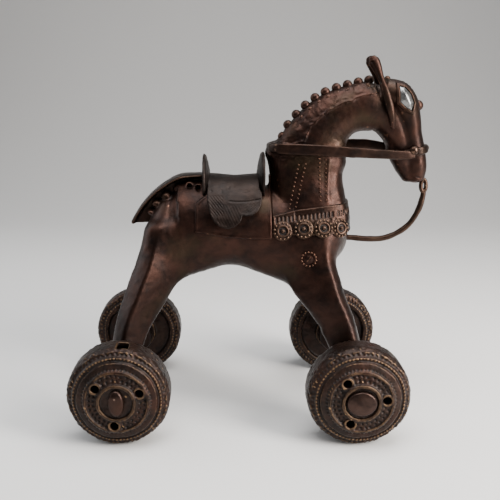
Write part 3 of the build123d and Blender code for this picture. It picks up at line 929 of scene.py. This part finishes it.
# ---- tail leaf ----
leaf = Tube([
    (-14.5, 0, 110.0, 4.5, 1.0),
    (-19.2, 0, 110.1, 5.4, 1.0),
    (-27.0, 0, 109.1, 6.4, 1.0),
    (-36.4, 0, 103.2, 6.2, 1.0),
    (-43.2, 0, 95.9, 4.4, 1.0),
    (-47.6, 0, 88.7, 1.6, 1.0),
], cap=1.4)
web_outline = [
    (-47.6, 88.2), (-40.4, 98.5), (-34.0, 104.2), (-26.5, 108.6), (-19.0, 110.2), (-13.0, 110.2),
    (-13.0, 104.0), (-24.0, 102.0), (-30.0, 100.0), (-34.5, 88.5),
]


def leaf_field(points):
    """Pointed leaf over the rump, on a thin web that joins it to the back."""
    blade = leaf.distance(points) - 0.08 * noise(points, 2.0)
    web_edge = outline_distance(points[:, [0, 2]], web_outline)
    web = smooth_max(np.abs(points[:, 1]) - 1.1, web_edge, 0.6)
    return np.maximum(smooth_min(blade, web, 0.8), -0.6 - body_distance(points))


field_piece("tail_leaf_strip", (-51, -9, 84), (-12, 9, 113), 0.36, leaf_field,
            "trim_bronze", ["tail_leaf"])


# ---- small cast ornaments ----
POLE_RADIUS = 0.02


def circle(first, second, sides):
    """Unit spokes round a circle, from the first direction towards the second."""
    turns = [2 * math.pi * step / sides for step in range(sides)]
    return [first * math.cos(turn) + second * math.sin(turn) for turn in turns]


class Cluster:
    """Many small closed solids gathered into one mesh."""

    def __init__(self):
        self.verts = []
        self.faces = []

    def add_rings(self, rings, ends):
        """Solid through rings of points, wound about the way they run; ends close it."""
        start = len(self.verts)
        sides = len(rings[0])
        last = start + (len(rings) - 1) * sides
        hub = last + sides
        for ring in rings:
            self.verts += ring
        self.verts += ends
        for i in range(sides):
            j = (i + 1) % sides
            for row in range(start, last, sides):
                self.faces.append((row + i, row + j, row + sides + j, row + sides + i))
            self.faces.append((hub, start + j, start + i))
            self.faces.append((hub + 1, last + i, last + j))

    def add_turned(self, centre, axis, profile, sides):
        """Solid of revolution about an axis; profile rows are radius and height, from the top down."""
        centre = Vector(centre)
        axis = Vector(axis).normalized()
        first = axis.orthogonal().normalized()
        if abs(axis.z) < 0.9:
            first = (Vector((0, 0, 1)) - axis * axis.z).normalized()
        spokes = circle(first, axis.cross(first), sides)
        upward = profile[::-1]
        rings = [[centre + axis * height + spoke * max(radius, POLE_RADIUS) for spoke in spokes]
                 for radius, height in upward]
        self.add_rings(rings, [centre + axis * upward[0][1], centre + axis * upward[-1][1]])

    def add_ball(self, centre, radius, axis=(0, 0, 1), flat=1.0, sides=12, rings=7):
        """Ball, or a button when flat is below 1."""
        profile = []
        for step in range(rings + 1):
            turn = math.pi * step / rings
            profile.append((radius * math.sin(turn), radius * flat * math.cos(turn)))
        self.add_turned(centre, axis, profile, sides)

    def add_sweep(self, path, radii, sides):
        """Round rod along a path with a radius at each point, closed at both ends."""
        path = [Vector(point) for point in path]
        rings = []
        side_axis = Vector((0, 1, 0))
        for i, point in enumerate(path):
            tangent = (path[min(i + 1, len(path) - 1)] - path[max(i - 1, 0)]).normalized()
            side_axis = (side_axis - tangent * side_axis.dot(tangent)).normalized()
            spokes = circle(side_axis, tangent.cross(side_axis), sides)
            rings.append([point + spoke * radii[i] for spoke in spokes])
        self.add_rings(rings, [path[0], path[-1]])

    def object(self, name):
        """The gathered mesh as a smooth-shaded object."""
        mesh = bpy.data.meshes.new(name)
        mesh.from_pydata(place([tuple(v) for v in self.verts]).tolist(), [], self.faces)
        for polygon in mesh.polygons:
            polygon.use_smooth = True
        mesh.validate()
        return add_object(name, mesh)


# Mane beads, each with a smaller lump on either side of the crest.
LUMP_RADIUS = 1.6
LUMP_INWARD = 2.6
LUMP_OUT = 2.4
mane = Cluster()
for spot in bead_places:
    mane.add_ball((spot[0], 0, spot[1]), BEAD_RADIUS, axis=(0, 1, 0), sides=18, rings=12)
    lump_x, lump_z = toward_neck(spot, LUMP_INWARD)
    for side in (-1, 1):
        place_of_lump = (lump_x, side * LUMP_OUT, lump_z)
        mane.add_ball(place_of_lump, LUMP_RADIUS, axis=(0, 1, 0), sides=16, rings=10)
finish_piece(mane.object("mane_bead_row"), "horse", "cast_bronze", ["mane_beads"])


def ear_field(side):
    """Field of one spoon-shaped ear, hollow towards the back and outside."""
    solid = Tube([
        (67.2, side * 6.9, 131.8, 0.8, 1.0),
        (66.4, side * 7.6, 136.4, 1.4, 1.6),
        (65.0, side * 8.0, 141.2, 1.6, 1.9),
        (63.3, side * 6.9, 147.0, 1.6, 1.8),
        (61.4, side * 5.0, 152.4, 1.6, 1.4),
        (59.7, side * 3.9, 156.8, 1.8, 2.1),
        (58.4, side * 3.2, 159.6, 1.7, 2.4),
        (57.7, side * 3.0, 160.9, 1.3, 1.7),
    ], cap=1.0)
    hollow = Tube([
        (61.0, side * 6.2, 151.0, 0.9, 0.5),
        (58.9, side * 5.4, 155.4, 1.4, 0.9),
        (57.1, side * 4.8, 158.6, 1.5, 1.2),
    ], cap=1.0)

    def field(points):
        return smooth_max(solid.distance(points), -hollow.distance(points), 0.4)

    return field


SIDES = ((1, "left"), (-1, "right"))
for side, word in SIDES:
    low_y, high_y = sorted((side * 0.5, side * 11.5))
    field_piece("ear_spoon_" + word, (54, low_y, 131), (72, high_y, 164), 0.22, ear_field(side),
                "cast_bronze", ["ear_" + word])

eye_outline = [
    (68.9, 149.4), (71.3, 148.9), (73.8, 146.2), (75.4, 142.2), (74.4, 138.9), (72.0, 140.1),
    (69.1, 142.7),
]
lid_outline = [
    (67.6, 150.9), (71.8, 150.3), (74.9, 147.0), (76.8, 142.0), (75.2, 137.0), (71.4, 138.8),
    (67.6, 141.9),
]
EYE_ROOT = 0.8


def eye_field(points):
    """Smooth almond eyeball that stands slightly out of the head."""
    edge = outline_distance(points[:, [0, 2]], eye_outline)
    return shell(points, edge, 0.35 + 0.85 * ease(-edge / 2.4), 0.35, EYE_ROOT)


def lid_field(points):
    """Raised lid ring round the eye."""
    flat = points[:, [0, 2]]
    outer = outline_distance(flat, lid_outline)
    inner = outline_distance(flat, eye_outline)
    ring = np.maximum(outer, -inner)
    return shell(points, ring, 0.85 + 0.1 * noise(points, 1.5), 0.45, EYE_ROOT)


for side, word in SIDES:
    low_y, high_y = sorted((side * 3.0, side * 12.5))
    field_piece("eyeball_" + word, (66, low_y, 136), (78, high_y, 153), 0.22, eye_field,
                "burnished_eye", ["eye_" + word])
    field_piece("eyelid_" + word, (65, low_y, 135), (78, high_y, 153.5), 0.24, lid_field,
                "cast_bronze")

knobs = Cluster()
knobs.add_ball((65.2, 0, 152.2), 1.4, sides=16, rings=10)
finish_piece(knobs.object("poll_button"), "horse", "cast_bronze", ["poll_knob"])
knobs = Cluster()
knobs.add_ball((79.2, 0, 140.8), 2.5, axis=(1, 0, 0.3), sides=20, rings=12)
finish_piece(knobs.object("forehead_button"), "horse", "cast_bronze", ["forehead_boss"])

# ---- bridle ----
NOSEBAND_MIDDLE = (72.0, 119.8)
NOSEBAND_SLOPE = 0.2
NOSEBAND_HALF_HEIGHT = 1.8
NOSEBAND_BACK_X = 71.0


def noseband_field(points):
    """Band round the muzzle, rising towards the front."""
    x, _, z = points.T
    middle = NOSEBAND_MIDDLE[1] + NOSEBAND_SLOPE * (x - NOSEBAND_MIDDLE[0])
    edge = np.maximum(np.abs(z - middle) - NOSEBAND_HALF_HEIGHT, NOSEBAND_BACK_X - x)
    return shell(points, edge, 1.25 + 0.08 * noise(points, 2.0), 0.8)


field_piece("noseband_strip", (68, -10, 115), (88, 10, 127), 0.28, noseband_field,
            "trim_bronze", ["noseband"])
knobs = Cluster()
knobs.add_ball((83.7, 0, 122.1), 1.9, axis=(1, 0, 0), sides=20, rings=12)
for side in (-1, 1):
    centre = (77.0, side * 7.4, 121.8)
    knobs.add_ball(centre, 2.0, axis=(0, side, 0), flat=0.8, sides=20, rings=12)
finish_piece(knobs.object("noseband_buttons"), "horse", "trim_bronze", ["noseband_knobs"])

REIN_HALF_THICKNESS = 0.8
# Rows: forward, out, up, half height. The left rein hangs higher than the right one at its middle.
rein_line = [
    (13.6, 0.0, 122.5, 1.8),
    (14.8, 5.0, 122.5, 1.9),
    (19.5, 9.4, 122.7, 2.3),
    (32.0, 11.0, 122.4, 2.4),
    (46.0, 10.4, 121.5, 2.3),
    (60.0, 9.2, 120.6, 2.1),
    (73.0, 7.9, 119.9, 1.9),
    (77.0, 7.2, 120.0, 1.6),
]
LEFT_REIN_LIFT = 2.6
LIFT_MIDDLE = 57.0
LIFT_REACH = 13.0


def rein_field(side):
    """Field of one flat rein from the withers to the noseband."""
    rows = []
    for x, y, z, half_height in rein_line:
        if side > 0:
            z += LEFT_REIN_LIFT * math.exp(-((x - LIFT_MIDDLE) / LIFT_REACH) ** 2)
        rows.append((x, side * y, z, REIN_HALF_THICKNESS, half_height, 0.8))
    strip = Tube(rows, cap=0.8, steps=6, corner=0.6)
    strip.across = np.cross(strip.tangent, np.array([0.0, 0.0, 1.0]))
    strip.across /= np.linalg.norm(strip.across, axis=1)[:, None]

    def field(points):
        return strip.distance(points) - 0.1 * noise(points, 3.0)

    return field


for side, word in SIDES:
    low_y, high_y = sorted((side * -1.5, side * 14.0))
    field_piece("rein_strap_" + word, (9, low_y, 116), (80, high_y, 128.5), 0.33,
                rein_field(side), "trim_bronze", ["rein_" + word])

# ---- breast collar ----
collar_outline = [
    (15.4, 86.0), (15.0, 94.4), (26.6, 96.9), (39.5, 98.6), (50.0, 99.2), (58.0, 99.2),
    (58.0, 86.6), (50.0, 86.4), (40.0, 86.4), (28.0, 86.2),
]
RIB_SPACING = 1.75
RIB_SPAN = (1.0, 3.7)
BAND_BACK = (15.0, 94.4)
BAND_SLOPE = 0.105


def collar_field(points):
    """Breast collar with a border line over a row of short upright ribs."""
    x, y, z = points.T
    edge = outline_distance(points[:, [0, 2]], collar_outline)
    below = BAND_BACK[1] + BAND_SLOPE * (x - BAND_BACK[0]) - z
    reach = x - np.abs(y) * ease((x - 42.0) / 6.0)
    ribs = grooves(reach, RIB_SPACING, 0.55) * between(below, RIB_SPAN, 0.4)
    border = np.exp(-((edge + 0.5) / 0.35) ** 2)
    ground = noise(points * [1, 0.4, 1], 1.1) * ease((below - 3.6) / 0.5)
    height = 0.7 + 0.2 * border - 0.5 * ribs + 0.16 * ground
    return shell(points, edge, height, 0.4)


field_piece("collar_band", (12.5, -21, 82.5), (56, 21, 101.5), 0.34, collar_field,
            "trim_bronze", ["breast_collar"])

ROSETTE_PROFILE = [
    (0.0, 2.1), (0.6, 1.95), (0.95, 1.5), (1.1, 0.8), (1.6, 0.75), (1.9, 1.3), (2.35, 1.5),
    (2.8, 1.3), (3.0, 0.8), (4.1, 0.75), (4.45, 0.3), (4.45, -2.0), (0.0, -2.0),
]
collar_rosettes = [(19.4, 87.8), (28.6, 88.8), (37.0, 89.2), (44.6, 88.7)]
shoulder_rosette = (31.0, 75.8)
BEAD_CIRCLE = 3.65


def add_rosette(cluster, point, normal, size, profile, dots):
    """Boss, ring and an outer circle of beads, facing along the normal."""
    scaled = [(radius * size, height * size) for radius, height in profile]
    cluster.add_turned(point, normal, scaled, sides=36)
    normal = Vector(normal).normalized()
    first = normal.orthogonal().normalized()
    for spoke in circle(first, normal.cross(first), dots):
        spot = Vector(point) + (spoke * BEAD_CIRCLE + normal * 0.75) * size
        cluster.add_ball(spot, 0.55 * size, sides=8, rings=5)


rosettes = Cluster()
for side in (-1, 1):
    for point, normal in zip(*on_side(collar_rosettes, side)):
        add_rosette(rosettes, point + normal * 0.2, normal, 0.98, ROSETTE_PROFILE, 13)
finish_piece(rosettes.object("collar_rosette_set"), "horse", "trim_bronze", ["collar_rosettes"])

SHOULDER_PROFILE = [
    (0.0, 1.0), (1.4, 0.8), (2.0, 0.3), (2.6, 0.2), (3.6, 0.2), (4.0, -0.3), (4.0, -2.0), (0.0, -2.0),
]
for side, word in SIDES:
    rosettes = Cluster()
    spots, facing = on_side([shoulder_rosette], side)
    add_rosette(rosettes, spots[0] - facing[0] * 0.25, facing[0], 0.86, SHOULDER_PROFILE, 14)
    item = rosettes.object("shoulder_boss_" + word)
    finish_piece(item, "horse", "cast_bronze", ["shoulder_rosette_" + word])

# Rows of raised dots down the neck, each from its top to its foot.
dot_rows = [
    ((26.4, 115.8), (22.5, 97.0)),
    ((29.4, 116.2), (25.3, 97.8)),
    ((35.4, 118.5), (36.0, 100.6)),
    ((38.3, 118.0), (38.6, 100.8)),
]
DOT_SPACING = 1.75
DOT_RADIUS = 0.48
for side, word in SIDES:
    dots = Cluster()
    for start, end in np.array(dot_rows):
        count = int(np.linalg.norm(end - start) / DOT_SPACING)
        row = [start + (end - start) * step / count for step in range(count + 1)]
        for point, normal in zip(*on_side(row, side)):
            dots.add_ball(point + normal * 0.1, DOT_RADIUS, axis=normal, flat=0.8, sides=8, rings=5)
    finish_piece(dots.object("neck_dots_" + word), "horse", "cast_bronze")

# ---- lead wire and chin ring ----
wire_route = [
    (44.0, 81.2), (52.0, 81.0), (60.0, 80.4), (67.3, 80.7), (73.7, 83.2), (79.1, 87.6),
    (82.7, 94.0), (84.3, 100.0), (84.5, 103.4),
]
WIRE_RADIUS = 1.3
wire_path = through([(x, 0.0, z) for x, z in wire_route], 10)
wire_path[:, 1] += 0.5 * noise(wire_path, 7.0)
wire = Cluster()
wire_radii = WIRE_RADIUS * (1 + 0.12 * noise(wire_path + 9, 3.0))
wire.add_sweep(wire_path, wire_radii.tolist(), sides=14)
finish_piece(wire.object("lead_wire_rod"), "horse", "trim_bronze", ["lead_wire"])

RING_MIDDLE = Vector((84.3, 0.0, 105.2))
RING_STEPS = 32
RING_WIRE_RADIUS = 0.95
spokes = circle(Vector((1.15, 0, 0)), Vector((0, 0.35, 2.7)), RING_STEPS)
ring_path = [RING_MIDDLE + spoke for spoke in spokes + spokes[:1]]
ring = Cluster()
ring.add_sweep(ring_path, [RING_WIRE_RADIUS] * len(ring_path), sides=12)
finish_piece(ring.object("chin_loop"), "horse", "trim_bronze", ["chin_ring"])

# ---- axles ----
HEAD_INNER = node_box("rear_axle")[1][1] - 2.4
ROD_RADIUS = 2.5


def axle_field(x, half_length, half_height):
    """Field of a rod with a hammered oval head at each end."""

    def field(points):
        out = np.abs(points[:, 1])
        across = points[:, 0] - x
        up = points[:, 2] - AXLE_HEIGHT
        rod = np.maximum(np.hypot(across, up) - ROD_RADIUS, out - HEAD_INNER - 0.5)
        radius = np.hypot(across / half_length, up / half_height)
        rim = (radius - 1) * min(half_length, half_height)
        dome = out - HEAD_INNER - 1.35 - (1 - np.minimum(radius, 1) ** 2)
        dome -= 0.12 * noise(points, 2.2)
        head = smooth_max(smooth_max(rim, dome, 0.8), HEAD_INNER - out, 0.2)
        return np.minimum(rod, head)

    return field


# Each axle's place, and half the length and height of its heads.
axles = {"rear_axle": (-HALF_BASE, 3.4, 5.8), "front_axle": (HALF_BASE, 6.3, 5.4)}
half_axle = node_box("rear_axle")[1][1] + 1
for name, (x, half_length, half_height) in axles.items():
    reach = max(half_length, half_height) + 1
    low = (x - reach, -half_axle, AXLE_HEIGHT - reach)
    high = (x + reach, half_axle, AXLE_HEIGHT + reach)
    block = Block(low, high, 0.3).fill(axle_field(x, half_length, half_height))
    finish_piece(block.mesh(name + "_rod"), name, "axle_bronze", [name])

# ---- wheels: sections as radius and width, with the outer face's widths positive ----
TREAD_RADIUS = 22.0
wheel_outer = [
    (BORE_RADIUS, 8.6), (6.8, 8.6), (7.1, 9.9), (8.1, 9.9), (8.6, 8.7), (12.6, 8.3), (13.0, 9.0),
    (13.8, 8.8), (14.3, 7.4), (15.1, 7.7), (16.8, 7.2), (17.4, 5.7), (18.7, 6.1), (19.3, 4.9),
    (20.8, 4.3), (21.6, 3.0), (22.0, 1.4),
]
wheel_inner = [
    (BORE_RADIUS, 8.6), (8.4, 8.6), (9.0, 6.6), (15.6, 6.4), (16.4, 8.1), (17.8, 8.3), (18.3, 7.4),
    (19.0, 7.4), (19.6, 7.9), (20.6, 7.6), (21.4, 6.9), (22.0, 5.6),
]
wheel_section = wheel_outer + [(radius, -width) for radius, width in reversed(wheel_inner)]
cavity_outer = [(4.8, 6.6), (12.8, 6.3), (16.4, 4.6), (19.6, 2.4)]
cavity_inner = [(4.8, 4.8), (16.0, 4.6), (20.0, 4.4)]
cavity_section = cavity_outer + [(radius, -width) for radius, width in reversed(cavity_inner)]


def dot_ring(radius, turn, ring_radius, count, size):
    """Round marks evenly spaced on a circle, 1 at their middles and 0 outside them."""
    along = (turn * count / (2 * math.pi)) % 1 - 0.5
    arc = along * 2 * math.pi * ring_radius / count
    return ease(1 - np.hypot(arc, radius - ring_radius) / size)


def wheel_relief(points, radius, turn):
    """Height of the punched and granulated marks on a wheel, in the wheel's own axes."""
    outer = ease(points[:, 1] / 1.5)
    wander = noise(points + 5, 2.4)
    height = np.zeros(len(points))
    for ring_radius, count, size in ((9.9, 29, 0.85), (11.7, 34, 0.8)):
        marks = dot_ring(radius + 0.35 * wander, turn + 0.045 * wander, ring_radius, count, size)
        height -= 0.75 * outer * marks
    height += 0.35 * dot_ring(radius, turn + 0.02 * wander, 14.5, 58, 0.7) * outer
    height += 0.35 * dot_ring(radius + 0.15 * wander, turn + 0.012 * wander, 18.4, 76, 0.8)
    height -= 0.55 * dot_ring(radius + 0.2 * wander, turn, 19.9, 62, 0.75)
    sandy = ease((radius - 19.0) / 1.5)
    height += (0.1 + 0.26 * sandy) * noise(points, 1.0) + 0.2 * noise(points, 3.2)
    return height


def wheel_base(points):
    """Drum with its relief and hollow, before the holes and slot are cut."""
    radius = np.hypot(points[:, 0], points[:, 2])
    turn = np.arctan2(points[:, 2], points[:, 0])
    wobble = 0.2 * noise(points + 17, 5.0) * between(radius, (8.0, 21.0), 2.0)
    flat = np.column_stack([radius + wobble, points[:, 1]])
    drum = outline_distance(flat, wheel_section) - 0.1 - wheel_relief(points, radius, turn)
    drum = np.maximum(drum, radius - TREAD_RADIUS)
    hollow = outline_distance(flat, cavity_section)
    return np.maximum(np.maximum(drum, BORE_RADIUS - radius), -hollow)


HOLE_CIRCLE = 10.6
HOLE_RADIUS = 1.75
SLOT_HALF_LENGTH = 2.4
SLOT_HALF_WIDTH = 3.0
SLOT_INSET = 0.9
SLOT_FLOOR = 8.0


def wheel_cuts(points, holes_start, slot_turn):
    """Raised lips round the three sound holes, the holes, and the slot through the tread."""
    x, y, z = points.T
    lips = np.full(len(points), FAR)
    holes = np.full(len(points), FAR)
    for step in range(3):
        turn = math.radians(holes_start + 120 * step)
        gap = np.hypot(x - HOLE_CIRCLE * math.cos(turn), z - HOLE_CIRCLE * math.sin(turn))
        lip = smooth_max(np.abs(gap - HOLE_RADIUS - 0.4) - 0.6, np.abs(y - 8.1) - 1.2, 0.5)
        lips = np.minimum(lips, lip)
        holes = np.minimum(holes, np.maximum(gap - HOLE_RADIUS, 1.0 - y))
    turn = math.radians(slot_turn)
    out = x * math.cos(turn) + z * math.sin(turn)
    along = z * math.cos(turn) - x * math.sin(turn)
    slot = np.maximum(np.abs(along) - SLOT_HALF_LENGTH, np.abs(y + SLOT_INSET) - SLOT_HALF_WIDTH)
    return lips, holes, np.maximum(slot, SLOT_FLOOR - out)


wheel_block = Block((-23, -10.4, -23), (23, 10.8, 23), 0.36)
wheel_block.fill(wheel_base, skip=3, margin=1.2)
wheel_points = wheel_block.points()
WHEEL_MIDDLE = 40.5
# Each wheel's axle, its side, and where its first hole and its slot stand, in degrees from the
# front upwards.
wheels = {
    "wheel_rear_right": (-HALF_BASE, -1, 144, 84),
    "wheel_rear_left": (-HALF_BASE, 1, -60, 200),
    "wheel_front_right": (HALF_BASE, -1, 126, 300),
    "wheel_front_left": (HALF_BASE, 1, -15, 250),
}


def make_wheel(name, x, side, holes_start, slot_turn):
    """One wheel; a right one is made as a left one and turned half round about the vertical."""
    if side < 0:
        holes_start = 180 - holes_start
        slot_turn = 180 - slot_turn
    lips, holes, slot_cut = wheel_cuts(wheel_points, holes_start, slot_turn)
    field = smooth_min(wheel_block.values.ravel(), lips, 0.5)
    field = smooth_max(field, -holes, 0.3)
    field = smooth_max(field, -slot_cut, 0.4).reshape(wheel_block.shape)
    item = wheel_block.mesh(name + "_drum", field)
    coords = np.empty(len(item.data.vertices) * 3)
    item.data.vertices.foreach_get("co", coords)
    coords = coords.reshape(-1, 3)
    coords[:, 0] -= MID_X
    coords *= [side, side, 1]
    coords += [x * MM + MID_X, side * WHEEL_MIDDLE * MM, AXLE_HEIGHT * MM]
    item.data.vertices.foreach_set("co", coords.ravel())
    item.data.update()
    finish_piece(item, name, "wheel_bronze", [name])


for name, (x, side, holes_start, slot_turn) in wheels.items():
    make_wheel(name, x, side, holes_start, slot_turn)
